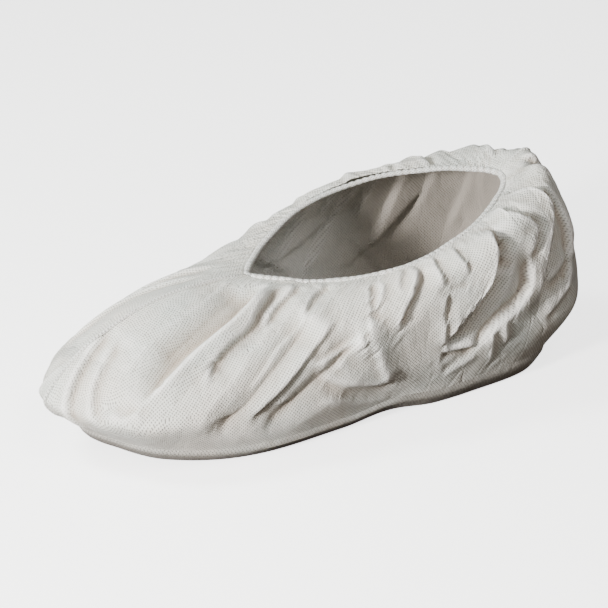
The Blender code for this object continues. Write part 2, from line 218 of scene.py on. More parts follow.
CREASE_START, CREASE_STOP = 0.18, 0.22  # shares of its length that fade in and out
CREASE_STEPS = 6  # steps between two points of a path
CREASE_NEAR = 0.05  # cloth farther away isn't moved
CREASE_FOOT, CREASE_FADE = 0.985, 0.17  # along, end and fade

# Relaxation of the cloth, coarse to fine: columns, rows and passes of each level
LEVELS = ((COLUMNS // 4, 24, 80), (COLUMNS // 2, 46, 50), (COLUMNS, ROWS, 25))
SPARE_CLOTH = 0.006  # share that is spare everywhere
SPARE_GATHERED = ((0.02, 0.16), (0.015, 0.5))  # extra shares near the collar and their reaches
SPARE_FOOT, SPARE_FADE = 0.98, 0.1  # along, end and fade
HELD_FROM = 0.99  # along, held from here to the base as at the collar
DIAGONAL = 0.6  # stiffness, the threads have 1
STIFFNESS = 0.2  # against bending
FOLD_GIVE = 0.02  # bend at which the cloth gives way
HOLD = 0.02  # pull of each pass towards the creased form
FARTHEST = 0.01  # from the creased form
FIRST_JITTER = ((40, 6, 0.0003), (90, 14, 0.00015))  # cells around, cells along and height
LATER_JITTER = (150, 24, 0.00005)
SEED = 3

# Flat panels that give the cloth coordinates
PANEL_COLUMNS, PANEL_ROWS = 8, 2  # steps over the cloth's grid
PANEL_PASSES = 300
PANEL_STIFFNESS = 0.9

# Turned-up edge and underside of the sole
SOLE_PROUD = (0.12, 0.55, 1.0)  # how far each row of the margin stands out, as a share
CORNER_SHARES = (0.35, 0.7)
CORNER_POWER = 1.15
FLAT_COLUMNS = 24
RIPPLE = (34, 7, 0.0006, 21)  # cells around, cells across, height and seed
RIPPLE_EDGE_POWER = 0.7
EDGE_V_STEP = 0.001
SOLE_SHARP_ANGLE = 40  # degrees

# Hem over the elastic
HEM_COLUMNS, HEM_CORNERS = 960, 12
HEM_BELOW = 0.015  # along, gives the hem its direction
HEM_SINK = 0.0003
HEM_V_STEP = 0.001
HEM_WOBBLE = 0.00018
PUCKER_PITCH = 0.0043
PUCKER_SHIFT = 1.1  # radians
PINCH_LEAST = 0.55
PINCH_WIDTH, PINCH_LOWER_WIDTH, PINCH_HEIGHT = 0.16, 0.30, 0.07  # shares taken by a pinch

# Welded centre seams
SEAM_FROM, SEAM_TO = 0.004, 0.93  # along
SEAM_STEPS = 5
SEAM_HALF = 0.0014
SEAM_RISE = 0.0009
SEAM_FOOT = 0.0003
SEAM_TAPER = 0.006
SEAM_END_WIDTH = 0.35
SEAM_RIB_PITCH = 0.0022
RIB_WIDTH, RIB_HEIGHT = 0.10, 0.22  # shares taken between two ribs of the weld
SEAM_V_STEP = 0.0006
SEAM_PROFILE = (
    (-1, -0.5), (-0.72, 0.25), (-0.34, 0.86), (0, 1), (0.34, 0.86), (0.72, 0.25), (1, -0.5),
)

# Colours
WHITE = (0.70, 0.675, 0.62)
COOL = (0.62, 0.665, 0.635)
HEM_WHITE = (0.78, 0.775, 0.755)
SEAM_WHITE = (0.74, 0.735, 0.715)
# painted shade: the colour put into the valleys and grooves of the folds and the pinches of hem and weld
SHADE_COLOUR = (0.35, 0.285, 0.225)
# painted shade: the brown put on the sole's edge towards the ground in place of its shadow
SOLE_SHADE_COLOUR = (0.08, 0.062, 0.048)
# painted highlight: the colour put on sharp ridges and on the inner face towards the toe
HIGHLIGHT_COLOUR = (0.93, 0.92, 0.90)
# painted shade: the colour put on the inside's heel half and on the insole
INSIDE_SHADE_COLOUR = (0.27, 0.245, 0.215)
FIBRE_TONE, DOT_TONE = 0.93, 0.27  # shares of the cloth's own colour
PAINTED_LIGHT_STRENGTH = {"valley": 0.85, "groove_shade": 0.6, "painted_highlight": 0.6, "inside": 1.0}  # strength of each painted tone: shade in valleys, grooves and the inside, highlight on ridges

# Surface of the cloth, in the material
CLOTH_SHADER = {
    "Roughness": 0.62, "Specular IOR Level": 0.35, "Sheen Weight": 0.12, "Sheen Roughness": 0.5,
}
DOT_PITCH = 0.0021
DOT_EDGE = 0.05
DOT_DEPTH = 0.00025
FACETS_ROUND, FACETS_DOWN = 75.0, 34.0  # crumple facets per metre round and down the cloth
SWAY_ROUND, SWAY_DOWN = 1.6, -1.2  # how far noise moves the facets, in facets
FACET_SMOOTH = 0.12
FACET_TILT = 0.42
FACET_EDGE = 0.09  # width of the crease between two facets, in facets
FACET_EDGE_DEPTH = 0.0026
CRUMPLE_DEPTH = 0.0016
FIBRE_DEPTH = 0.00012
MIX_FACTOR, MIX_FIRST, MIX_SECOND, MIX_RESULT = 0, 6, 7, 2  # sockets of a Mix node for colours

# Fields of the upper that the material reads: painted shade in valleys, grooves and the inside's heel half,
# painted highlights on ridges and the inside's toe half, and crumples
# depth of a valley at which its painted shade is full
VALLEY_DEPTH = 0.011
VALLEY_PASSES, BEND_PASSES = 2, 3
# bend at which the painted highlight of a ridge or the painted shade of a groove is full
FULL_BEND = 0.2
# shares of the painted valley shade and of the crumples on the inner face
INNER_VALLEY, INNER_CRUMPLED = 0.3, 0.5
# x where the inside turns from painted shade at the heel to painted light towards the toe
DARK_INSIDE_TO, DARK_INSIDE_FADE = -0.03, 0.08  # x
CRUMPLED_LEAST = 0.15
CRUMPLED_HEEL = (0.55, 0.15)  # start and fade, around
CRUMPLED_TOE = (0.14, 0.1)  # stop and fade, around
CRUMPLED_LOW = (0.5, 0.2)  # start and fade, along
CRUMPLED_SIDE = (0.12, 0.15)  # start and fade, around
COLLAR_CRUMPLES = 0.22  # along

# Painted brown shade of the sole's edge, darker towards the ground and at the heel half: share, then where
# each stops and its fade
SOLE_EDGE_SHADE = ((0.4, 0.013, 0.008), (0.6, 0.0072, 0.003))
HEEL_EDGE_SHADE = (0.62, 0.0145, 0.002)
HEEL_HALF = (0.075, 0.02)
UNDERSIDE_SHADE = 0.1  # little painted shade on the flat underside, only the edge is dark
INSOLE_SHADE = 0.3
# painted shade in the pinches of the hem and in the dents of the weld
HEM_PINCH_SHADE, SEAM_DENT_SHADE = 0.5, 0.25

# Floor, light and camera
FLOOR_SIZE, FLOOR_HEIGHT = 3.0, -0.0002
FLOOR_SHADER = {
    "Base Color": (0.93, 0.93, 0.93, 1), "Roughness": 0.7,
    "Emission Color": (1, 1, 1, 1), "Emission Strength": 2.6,
}
Light = namedtuple("Light", "name place size power colour")
LIGHTS = (
    Light("top", (0.80, -0.50, 1.10), 0.36, 16, (0.90, 1.0, 0.97)),
    Light("side", (1.38, 0.40, 0.45), 0.2, 56, (1.0, 0.97, 0.935)),
    Light("fill", (1.2, 1.3, 0.45), 0.9, 4, (1.0, 0.94, 0.87)),
    Light("back", (0.02, 0.75, 1.15), 0.5, 5.5, (1.0, 0.97, 0.93)),
)
LIGHT_AIM = (0.08, 0.0, 0.05)
SKY_STRENGTH = 0.2
SKY = ((0.0, (0.42, 0.33, 0.25)), (0.6, (1.0, 0.94, 0.88)))  # height and colour
AZIMUTH, ELEVATION = math.radians(146.5), math.radians(24.0)  # of the photo's camera
CAMERA_PIVOT = (0.09, 0.0, 0.045)
CAMERA_DISTANCE = 1.25
CAMERA_AIM = (0.083, 0.0, 0.053)
CAMERA_LENS, SENSOR_WIDTH = 128, 36  # mm


def unit(vectors):
    return vectors / np.linalg.norm(vectors, axis=-1, keepdims=True)


def smoothstep(value):
    value = np.clip(value, 0, 1)
    return value * value * (3 - 2 * value)


def beyond(value, start, fade):
    """0 up to the start, rising to 1 over the fade behind it."""
    return smoothstep((value - start) / fade)


def short_of(value, stop, fade):
    """0 from the stop on, rising to 1 over the fade before it."""
    return smoothstep((stop - value) / fade)


def hermite(u, start, end, start_slope, end_slope):
    return (
        (2 * u**3 - 3 * u**2 + 1) * start
        + (u**3 - 2 * u**2 + u) * start_slope
        + (3 * u**2 - 2 * u**3) * end
        + (u**3 - u**2) * end_slope
    )


def resampled(values, known, places, axis):
    """Values known at some places along an axis, read at other places by straight lines."""
    return np.apply_along_axis(lambda line: np.interp(places, known, line), axis, values)


def loop_lengths(loop):
    """Length along a closed line up to each of its points, and all round it."""
    return np.concatenate([[0], np.cumsum(np.linalg.norm(np.roll(loop, -1, 0) - loop, axis=1))])


def soft_noise(shape, around, along, height, seed):
    """Smooth seeded noise on a grid that closes on itself around."""
    random = np.random.default_rng(seed)
    values = random.normal(size=(around, along + 1)) * height
    x = np.arange(shape[0]) / shape[0] * around
    y = np.linspace(0, along, shape[1])
    i = np.floor(x).astype(int)
    j = np.minimum(np.floor(y).astype(int), along - 1)
    fx = smoothstep(x - i)[:, None]
    fy = smoothstep(y - j)[None, :]
    near, far = values[i % around], values[(i + 1) % around]
    upper = near[:, j] * (1 - fx) + far[:, j] * fx
    lower = near[:, j + 1] * (1 - fx) + far[:, j + 1] * fx
    return upper * (1 - fy) + lower * fy


def loop_noise(count, cells, height, seed):
    """Smooth seeded noise along a closed line."""
    return soft_noise((count, 2), cells, 1, height, seed)[:, 0]


def rib_values(around):
    """The rib table read at any value of around, smooth from rib to rib."""
    table = np.array(RIBS)
    knots, values = table[:, 0], table[:, 1:]
    slopes = np.zeros_like(values)
    slopes[1:-1] = (values[2:] - values[:-2]) / (knots[2:] - knots[:-2])[:, None]
    slopes[0] = (values[1] - values[0]) / (knots[1] - knots[0])
    slopes[-1] = (values[-1] - values[-2]) / (knots[-1] - knots[-2])
    eased = [k for k, name in enumerate(Rib._fields[1:]) if not name.endswith("_out")]
    slopes[0, eased] *= CENTRE_EASE
    slopes[-1, eased] *= CENTRE_EASE
    place = np.clip(np.searchsorted(knots, around, side="right") - 1, 0, len(knots) - 2)
    step = (knots[place + 1] - knots[place])[:, None]
    u = (around[:, None] - knots[place][:, None]) / step
    read = hermite(u, values[place], values[place + 1], slopes[place] * step, slopes[place + 1] * step)
    return dict(zip(Rib._fields[1:], read.T))


def floor_line(along):
    """Height of the underside: flat at the heel and forefoot, raised at arch and toe."""
    arch = np.clip((along - HEEL_FLAT_FRONT) / (FOREFOOT_FLAT_BACK - HEEL_FLAT_FRONT), 0, 1)
    toe = np.clip((along - FOREFOOT_FLAT_FRONT) / (LENGTH - HEEL_REACH - FOREFOOT_FLAT_FRONT), 0, 1)
    return ARCH_RISE * np.sin(math.pi * arch) ** 2 + TOE_SPRING * toe**2


def rib_points(turn):
    """Collar, shoulder, belly and base points of the ribs at each signed turn, and the puff."""
    rib = rib_values(np.abs(turn))
    side = np.where(turn < 0, -1.0, 1.0)
    along = rib["collar_along"] * COLLAR_LENGTH - COLLAR_REACH
    out = side * rib["collar_out"] * COLLAR_WIDTH / 2
    up = INSTEP_HEIGHT + rib["collar_up"] * (COLLAR_BACK_HEIGHT - INSTEP_HEIGHT) - COLLAR_LEAN * out
    points = [np.stack((along, out, up), 1)]
    for name in ("shoulder", "belly", "base"):
        along = rib[name + "_along"] * LENGTH - HEEL_REACH
        out = side * rib[name + "_out"] * BALL_WIDTH / 2
        if name == "base":
            up = floor_line(along) + rib["base_up"] * MARGIN_HEIGHT
        else:
            up = rib[name + "_up"] * HEEL_HEIGHT
        points.append(np.stack((along, out, up), 1))
    return np.stack(points, 1), rib["puff"] * HEEL_HEIGHT


def smooth_cloth(turn, rows):
    """The cloth without folds: an array of turns by rows by x, y, z."""
    points, puff = rib_points(turn)
    spans = np.linalg.norm(np.diff(points, axis=1), axis=2)
    knots = np.concatenate([np.zeros((len(turn), 1)), np.cumsum(spans, 1)], 1)
    knots /= knots[:, -1:]
    slopes = np.zeros_like(points)
    slopes[:, 1:-1] = (points[:, 2:] - points[:, :-2]) / (knots[:, 2:] - knots[:, :-2])[:, :, None]
    slopes[:, 0] = (points[:, 1] - points[:, 0]) / knots[:, 1:2]
    slopes[:, 0, 2] += puff
    slopes[:, -1] = (points[:, -1] - points[:, -2]) / (1 - knots[:, -2:-1])
    cloth = np.zeros((len(turn), len(rows), 3))
    for part in range(3):
        start, end = slice(part, part + 1), slice(part + 1, part + 2)
        step = knots[:, end] - knots[:, start]
        u = (rows[None, :] - knots[:, start]) / step
        here = (u >= 0) & (u <= 1 + 1e-9)
        slope_step = step[:, :, None]
        piece = hermite(
            u[:, :, None], points[:, start], points[:, end],
            slopes[:, start] * slope_step, slopes[:, end] * slope_step,
        )
        cloth[here] = piece[here]
    return cloth


def normals(cloth, rows):
    """Outward normals of a cloth grid that closes on itself around."""
    round_it = np.roll(cloth, -1, 0) - np.roll(cloth, 1, 0)
    down_it = np.gradient(cloth, rows, axis=1)
    return unit(np.cross(down_it, round_it))


def heel_column(columns):
    """The column of the heel seam."""
    return columns * LEFT_PARTS // ALL_PARTS


def turns(columns):
    heel = heel_column(columns)
    column = np.arange(columns)
    return np.where(column <= heel, column / heel, (column - columns) / (columns - heel))


def spread_rows(count):
    return np.linspace(0, 1, count) ** ROW_POWER


def between_columns(grid, place):
    """A closed grid read at any column numbers."""
    start = np.floor(place).astype(int)
    share = (place - start)[:, None, None]
    return grid[start % len(grid)] * (1 - share) + grid[(start + 1) % len(grid)] * share


def read_grid(grid, rows, side, path):
    """The values of a grid at the (around, along) points of a path."""
    columns = len(grid)
    heel = heel_column(columns)
    column = path[:, 0] * heel if side > 0 else columns - path[:, 0] * (columns - heel)
    row = np.interp(path[:, 1], rows, np.arange(len(rows)))
    above = np.minimum(np.floor(row).astype(int), len(rows) - 2)
    share = (row - above)[:, None]
    lines = between_columns(grid, column)
    pick = np.arange(len(path))
    return lines[pick, above] * (1 - share) + lines[pick, above + 1] * share


def through(points, count):
    """A smooth curve through the points of a path, with count steps between two of them."""
    ends = np.array(points, float)
    ends = np.vstack([2 * ends[0] - ends[1], ends, 2 * ends[-1] - ends[-2]])
    curve = []
    for before, here, after, beyond_it in zip(ends, ends[1:], ends[2:], ends[3:]):
        for u in np.linspace(0, 1, count, endpoint=False):
            curve.append(
                here
                + 0.5 * (after - before) * u
                + (before - 2.5 * here + 2 * after - 0.5 * beyond_it) * u**2
                + 0.5 * (3 * here - before - 3 * after + beyond_it) * u**3
            )
    curve.append(ends[-2])
    return np.array(curve)


def crease_depth(rows, smooth):
    """How far each point of the cloth is moved out by the creases."""
    out = normals(smooth, rows).reshape(-1, 3)
    points = smooth.reshape(-1, 3)
    depth = np.zeros(len(points))
    for crease in LEFT_CREASES + RIGHT_CREASES:
        line = read_grid(smooth, rows, crease.side, through(crease.path, CREASE_STEPS))
        low, high = line.min(0) - CREASE_NEAR, line.max(0) + CREASE_NEAR
        near = np.where(((points > low) & (points < high)).all(1))[0]
        step = line[1:] - line[:-1]
        square = (step * step).sum(1) + 1e-12
        lengths = np.sqrt(square)
        reached = np.concatenate([[0], np.cumsum(lengths)])
        offset = points[near][:, None] - line[:-1][None]
        u = np.clip((offset * step[None]).sum(2) / square, 0, 1)
        distance = np.linalg.norm(offset - u[..., None] * step[None], axis=2)
        best = distance.argmin(1)
        pick = np.arange(len(near))
        u = u[pick, best]
        mm = distance[pick, best] * 1000
        share = (reached[best] + u * lengths[best]) / reached[-1]
        across = (np.cross(step[best], offset[pick, best]) * out[near]).sum(1) * crease.side
        heel_side = 0.5 + 0.5 * np.tanh(across / lengths[best] / CREASE_SOFT)
        ends = smoothstep(np.minimum(share / CREASE_START, (1 - share) / CREASE_STOP))
        past = ((u <= 0) & (best == 0)) | ((u >= 1) & (best == len(step) - 1))
        ends = np.where(past, 0, ends)
        before, after = (
            height * np.clip(1 - mm / (FACET * reach), 0, 1) ** FACET_POWER
            for height, reach in ((crease.before, crease.reach_before), (crease.after, crease.reach_after))
        )
        broad = max(crease.reach_before, crease.reach_after) > BROAD_REACH
        strength = CREASE_STRENGTH[crease.side, broad]
        depth[near] += strength * ends * (before * (1 - heel_side) + after * heel_side) / 1000
    return depth.reshape(smooth.shape[:2]) * short_of(rows, CREASE_FOOT, CREASE_FADE)[None, :]


def keep_length(cloth, free, columns, rows, di, dj, rest, share):
    """Moves pairs of cloth points until they are as far apart as the cloth is long."""
    others = (columns + di) % cloth.shape[0]
    here, there = np.ix_(columns, rows), np.ix_(others, rows + dj)
    first, second = cloth[here], cloth[there]
    free_first, free_second = free[here], free[there]
    apart = second - first
    length = np.sqrt((apart * apart).sum(-1)) + 1e-12
    move = (share * (length - rest[here]) / length / (free_first + free_second + 1e-9))[..., None] * apart
    cloth[here] = first + move * free_first[..., None]
    cloth[there] = second - move * free_second[..., None]


def keep_flat(first, second, rest, free_first, free_second):
    """Opens a bend between two points that stand a point apart, unless it is a sharp crease."""
    apart = second - first
    length = np.linalg.norm(apart, axis=2)
    share = STIFFNESS / (1 + (np.clip(1 - length / rest, 0, 1) / FOLD_GIVE) ** 1.5)
    short = np.minimum(length - rest, 0) / (length + 1e-12)
    move = (share * short / (free_first + free_second + 1e-9))[..., None] * apart
    return first + move * free_first[..., None], second - move * free_second[..., None]


def settle(cloth, base, spare_around, spare_along, free, passes):
    """Lets the cloth buckle into its spare length, close to the creased base."""
    columns, rows = cloth.shape[:2]
    round_it = np.roll(base, -1, 0) - base
    down_it = np.zeros_like(base)
    down_it[:, :-1] = base[:, 1:] - base[:, :-1]
    rest_around = np.linalg.norm(round_it, axis=2) * spare_around
    rest_along = np.linalg.norm(down_it, axis=2) * spare_along
    lean = (round_it * down_it).sum(2) * spare_around * spare_along
    square = rest_around**2 + rest_along**2
    rest_one, rest_other = (np.sqrt(np.maximum(square + twice * lean, 1e-12)) for twice in (2, -2))
    rest_other = np.roll(rest_other, 1, 0)
    two_around = rest_around + np.roll(rest_around, -1, 0)
    two_along = rest_along[:, :-2] + rest_along[:, 1:-1]
    every_column, every_row = np.arange(columns), np.arange(rows)
    column_sets = (every_column[::2], every_column[1::2])
    row_sets = (every_row[:-1:2], every_row[1:-1:2])
    column_pairs = (every_column[every_column % 4 < 2], every_column[every_column % 4 >= 2])
    inner = every_row[:-2]
    row_pairs = (inner[inner % 4 < 2], inner[inner % 4 >= 2])
    for turn in range(passes):
        for some in column_sets:
            keep_length(cloth, free, some, every_row, 1, 0, rest_around, 1.0)
        for some in row_sets:
            keep_length(cloth, free, every_column, some, 0, 1, rest_along, 1.0)
        for lean_to, rest in ((1, rest_one), (-1, rest_other)):
            for some in column_sets:
                keep_length(cloth, free, some, every_row[:-1], lean_to, 1, rest, DIAGONAL)
        for some in column_pairs:
            other = (some + 2) % columns
            cloth[some], cloth[other] = keep_flat(
                cloth[some], cloth[other], two_around[some], free[some], free[other]
            )
        for some in row_pairs:
            cloth[:, some], cloth[:, some + 2] = keep_flat(
                cloth[:, some], cloth[:, some + 2], two_along[:, some], free[:, some], free[:, some + 2]
            )
        cloth += (base - cloth) * (HOLD * (free > 0))[..., None]
        if turn % 10 == 9:
            moved = cloth - base
            far = np.linalg.norm(moved, axis=2)
            cloth[:] = base + moved * np.where(far > FARTHEST, FARTHEST / (far + 1e-12), 1.0)[..., None]
    return cloth


def relaxed_cloth():
    """The creased cloth after it has settled, the same without folds, and its rows."""
    moved = old_rows = None
    for columns, count, passes in LEVELS:
        rows = spread_rows(count)
        smooth = smooth_cloth(turns(columns), rows)
        out = normals(smooth, rows)
        base = smooth + out * crease_depth(rows, smooth)[..., None]
        fade = np.clip((SPARE_FOOT - rows) / SPARE_FADE, 0, 1)[None, :]
        gathered = sum(most * np.exp(-rows / reach) for most, reach in SPARE_GATHERED)
        spare_around = 1 + (SPARE_CLOTH + gathered)[None, :] * fade * np.ones((columns, 1))
        spare_along = 1 + SPARE_CLOTH * fade * np.ones((columns, 1))
        free = np.ones((columns, count))
        free[:, 0] = 0
        free[:, rows > HELD_FROM] = 0
        shape = (columns, count)
        if moved is None:
            jitter = sum(soft_noise(shape, *cells, SEED + k) for k, cells in enumerate(FIRST_JITTER))
            cloth = base
        else:
            jitter = soft_noise(shape, *LATER_JITTER, SEED + columns)
            place = np.arange(columns) * len(moved) / columns
            cloth = base + resampled(between_columns(moved, place), old_rows, rows, 1)
        cloth = cloth + out * (jitter * fade)[..., None]
        cloth = settle(cloth, base, spare_around, spare_along, free, passes)
        moved, old_rows = cloth - base, rows
    return cloth, smooth, rows


def flat_panel(half):
    """Lays one side of the cloth flat with little stretch: panel coordinates in metres."""
    sideways = np.linalg.norm(np.diff(half[:, :, 1:], axis=1), axis=2)
    up = np.concatenate([np.cumsum(sideways[:, ::-1], 1)[:, ::-1], np.zeros((half.shape[0], 1))], 1)
    flat = np.stack([half[:, :, 0], up], -1)
    free = np.ones(flat.shape[:2])
    columns, every_row = np.arange(half.shape[0]), np.arange(half.shape[1])
    steps = []
    for di, dj in ((1, 0), (0, 1), (1, 1), (-1, 1)):
        there = np.roll(half, (-di, -dj), (0, 1))
        rest = np.linalg.norm(there - half, axis=2)
        picked = columns[1:] if di < 0 else columns[: len(columns) - di]
        row_picked = every_row[: len(every_row) - dj]
        for start in (0, 1):
            some = (picked[start::2], row_picked) if di else (picked, row_picked[start::2])
            steps.append((*some, di, dj, rest))
    for _ in range(PANEL_PASSES):
        for step in steps:
            keep_length(flat, free, *step, PANEL_STIFFNESS)
    return flat


def loop_coordinates(smooth):
    """Cloth coordinates of the four corners of every quad of the grid."""
    columns, count = smooth.shape[:2]
    rough = smooth[::PANEL_COLUMNS, ::PANEL_ROWS]
    middle = heel_column(columns) // PANEL_COLUMNS
    panels = []
    for half in (rough[: middle + 1], np.concatenate([rough[middle:], rough[:1]])):
        places = np.arange((len(half) - 1) * PANEL_COLUMNS + 1) / PANEL_COLUMNS
        wide = resampled(flat_panel(half), np.arange(len(half)), places, 0)
        panels.append(resampled(wide, np.arange(0, count, PANEL_ROWS), np.arange(count), 1))
    start = np.concatenate([panel[:-1] for panel in panels])
    end = np.concatenate([panel[1:] for panel in panels])
    return np.stack([start[:, :-1], start[:, 1:], end[:, 1:], end[:, :-1]], 2)


def grid_quads(numbers):
    """Quads of a grid of point numbers that closes around, in the order of loop_coordinates."""
    after = np.roll(numbers, -1, 0)
    return np.stack([numbers[:, :-1], numbers[:, 1:], after[:, 1:], after[:, :-1]], -1)


def strip(first, second, lengths, v_first, v_second):
    """Quads between two lines of point numbers, and their cloth coordinates.

    The lines are closed where lengths has one value more than they have points.
    """
    faces, uvs = [], []
    for here, (u, u_after) in enumerate(zip(lengths, lengths[1:])):
        after = (here + 1) % len(first)
        faces.append((first[here], second[here], second[after], first[after]))
        uvs.append(((u, v_first), (u, v_second), (u_after, v_second), (u_after, v_first)))
    return faces, uvs


def tube(sections, corners, lengths, v_step, turned):
    """Quads along a row of equal sections, turned over where their corners run backwards."""
    faces, uvs = [], []
    start = np.arange(sections) * corners
    for corner in range(corners):
        lines = (start + corner, start + (corner + 1) % corners)
        heights = (corner * v_step, (corner + 1) * v_step)
        if turned:
            lines, heights = lines[::-1], heights[::-1]
        quads, quad_uvs = strip(*lines, lengths, *heights)
        faces += quads
        uvs += quad_uvs
    return faces, uvs


def merged(points, faces, uvs, fields):
    """The same mesh with the points that share a place made one."""
    keys = np.round(points * 1e6).astype(np.int64)
    _, first, which = np.unique(keys, axis=0, return_index=True, return_inverse=True)
    which = which.ravel()
    kept_faces, kept_uvs = [], []
    for face, uv in zip(faces, uvs):
        kept = {}
        for vertex, corner in zip(face, uv):
            kept.setdefault(which[vertex], corner)
        if len(kept) > 2:
            kept_faces.append(tuple(kept))
            kept_uvs.append(list(kept.values()))
    return points[first], kept_faces, kept_uvs, {name: values[first] for name, values in fields.items()}


def add_object(name, data):
    made = bpy.data.objects.new(name, data)
    bpy.context.scene.collection.objects.link(made)
    return made


def aim(made, place, target):
    made.location = place
    made.rotation_euler = (Vector(target) - made.location).to_track_quat("-Z", "Y").to_euler()


def add_piece(name, slot_name, replaced, material, points, faces, uvs, fields, sharp_angle=0):
    """A mesh that rides on the body, with the coordinates of each face's corners and fields."""
    mesh = bpy.data.meshes.new(name)
    mesh.from_pydata(points.tolist(), [], [tuple(map(int, face)) for face in faces])
    corners = np.concatenate([np.reshape(uv, (-1, 2)) for uv in uvs])
    mesh.uv_layers.new(name="cloth").data.foreach_set("uv", corners.astype(np.float32).ravel())
    for field, values in fields.items():
        mesh.attributes.new(field, "FLOAT", "POINT").data.foreach_set("value", values.astype(np.float32))
    mesh.update()
    mesh.shade_smooth()
    if sharp_angle:
        mesh.set_sharp_from_angle(angle=math.radians(sharp_angle))
    mesh.materials.append(material)
    piece = add_object(name, mesh)
    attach(piece, "root")
    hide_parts(replaced)


def cloth_material(name, colour, shade_colour=SHADE_COLOUR, dot_depth=DOT_DEPTH):
    """Nonwoven laminate: embossed dots, fibre mottling, crumples, and painted shade and highlights on folds
    and the inside.
    """
    made = bpy.data.materials.new(name)
    made.use_nodes = True
    nodes, links = made.node_tree.nodes, made.node_tree.links
    shader = nodes["Principled BSDF"]

    def feed(socket, value):
        """Links an output to the socket, or sets it to a number, a vector or a colour."""
        if isinstance(value, bpy.types.NodeSocket):
            links.new(value, socket)
        elif socket.type == "RGBA":
            socket.default_value = (*value, 1)
        else:
            socket.default_value = value

    def node(kind, inputs=(), **settings):
        """Adds a node, and gives its outputs."""
        added = nodes.new("ShaderNode" + kind)
        for key, value in settings.items():
            setattr(added, key, value)
        for key, value in dict(inputs).items():
            feed(added.inputs[key], value)
        return added.outputs

    def math_node(operation, *values):
        return node("Math", enumerate(values), operation=operation)[0]

    def vector_node(operation, inputs):
        return node("VectorMath", inputs, operation=operation)[0]

    def noise(scale, detail, rough=0.55):
        inputs = {"Scale": scale, "Detail": detail, "Roughness": rough, "Vector": place}
        return node("TexNoise", inputs)["Fac"]

    def field_value(field):
        return node("Attribute", attribute_name=field)["Fac"]

    def ramp(value, low, high, top=1.0):
        return node("MapRange", {"Value": value, "From Min": low, "From Max": high, "To Max": top})[0]

    def mix(factor, first, second):
        inputs = {MIX_FACTOR: factor, MIX_FIRST: first, MIX_SECOND: second}
        return node("Mix", inputs, data_type="RGBA")[MIX_RESULT]

    def bump(height, distance, normal):
        return node("Bump", {"Strength": 1.0, "Distance": distance, "Height": height, "Normal": normal})[0]

    place = node("TexCoord")["Object"]
    flat = node("SeparateXYZ", {0: node("UVMap", uv_map="cloth")[0]})
    waves = [math_node("SINE", math_node("MULTIPLY", flat[axis], 2 * math.pi / DOT_PITCH)) for axis in "XY"]
    dot = math_node("MAXIMUM", math_node("SUBTRACT", math_node("MULTIPLY", *waves), DOT_EDGE), 0.0)

    # crumples: flat facets with a thin crease between them, elongated down the cloth
    crumpled = field_value("crumpled")
    sway = noise(30.0, 2.0)
    stretched = {}
    for axis, count, shift in (("X", FACETS_ROUND, SWAY_ROUND), ("Y", FACETS_DOWN, SWAY_DOWN)):
        counted = math_node("MULTIPLY", flat[axis], count)
        stretched[axis] = math_node("ADD", counted, math_node("MULTIPLY", sway, shift))
    facet_inputs = {"Vector": node("CombineXYZ", stretched)[0], "Scale": 1.0}
    smooth_inputs = {**facet_inputs, "Smoothness": FACET_SMOOTH}
    facets = node("TexVoronoi", smooth_inputs, voronoi_dimensions="2D", feature="SMOOTH_F1")
    edges = node("TexVoronoi", facet_inputs, voronoi_dimensions="2D", feature="DISTANCE_TO_EDGE")
    centred = vector_node("SUBTRACT", {0: facets["Color"], 1: (0.5, 0.5, 0.5)})
    tilt = vector_node("SCALE", {0: centred, "Scale": math_node("MULTIPLY", crumpled, FACET_TILT)})
    leaning = vector_node("ADD", {0: node("NewGeometry")["Normal"], 1: tilt})
    normal = vector_node("NORMALIZE", {0: leaning})
    near_edge = math_node("MINIMUM", edges["Distance"], FACET_EDGE)
    normal = bump(math_node("MULTIPLY", near_edge, crumpled), FACET_EDGE_DEPTH, normal)

    normal = bump(dot, dot_depth, normal)
    ridges = math_node("ABSOLUTE", math_node("SUBTRACT", noise(60.0, 3.0, 0.6), 0.5))
    normal = bump(ridges, CRUMPLE_DEPTH, normal)
    normal = bump(noise(1400.0, 2.0), FIBRE_DEPTH, normal)

    tone = mix(ramp(noise(26.0, 4.0, 0.6), 0.35, 0.68), colour, COOL)
    tone = mix(ramp(noise(900.0, 2.0), 0.3, 0.7, 0.35), tone, tuple(FIBRE_TONE * c for c in colour))
    tone = mix(dot, tone, tuple(DOT_TONE * c for c in colour))
    # painted shade in valleys, grooves and the inside, painted highlights on ridges
    painted_tones = {"valley": shade_colour, "groove_shade": shade_colour, "painted_highlight": HIGHLIGHT_COLOUR, "inside": INSIDE_SHADE_COLOUR}
    for field, tint in painted_tones.items():
        tone = mix(math_node("MULTIPLY", field_value(field), PAINTED_LIGHT_STRENGTH[field]), tone, tint)
    for key, value in {**CLOTH_SHADER, "Normal": normal, "Base Color": tone}.items():
        feed(shader.inputs[key], value)
    return made


def bend(cloth, smooth, rows):
    """How sharply the cloth is creased at each point: above 0 on ridges, below 0 in valleys."""
    moved = cloth - smooth
    out = normals(smooth, rows)
    around = moved - 0.5 * (np.roll(moved, 1, 0) + np.roll(moved, -1, 0))
    along = np.zeros_like(moved)
    along[:, 1:-1] = moved[:, 1:-1] - 0.5 * (moved[:, 2:] + moved[:, :-2])
    pitch = np.linalg.norm(np.roll(smooth, -1, 0) - smooth, axis=2)
    return ((around + along) * out).sum(2) / pitch


def softened(field, passes):
    """A field of the grid with each point averaged with its neighbours."""
    for _ in range(passes):
        field = 0.5 * field + 0.25 * (np.roll(field, 1, 0) + np.roll(field, -1, 0))
        padded = np.concatenate([field[:, :1], field, field[:, -1:]], 1)
        field = 0.5 * field + 0.25 * (padded[:, 2:] + padded[:, :-2])
    return field


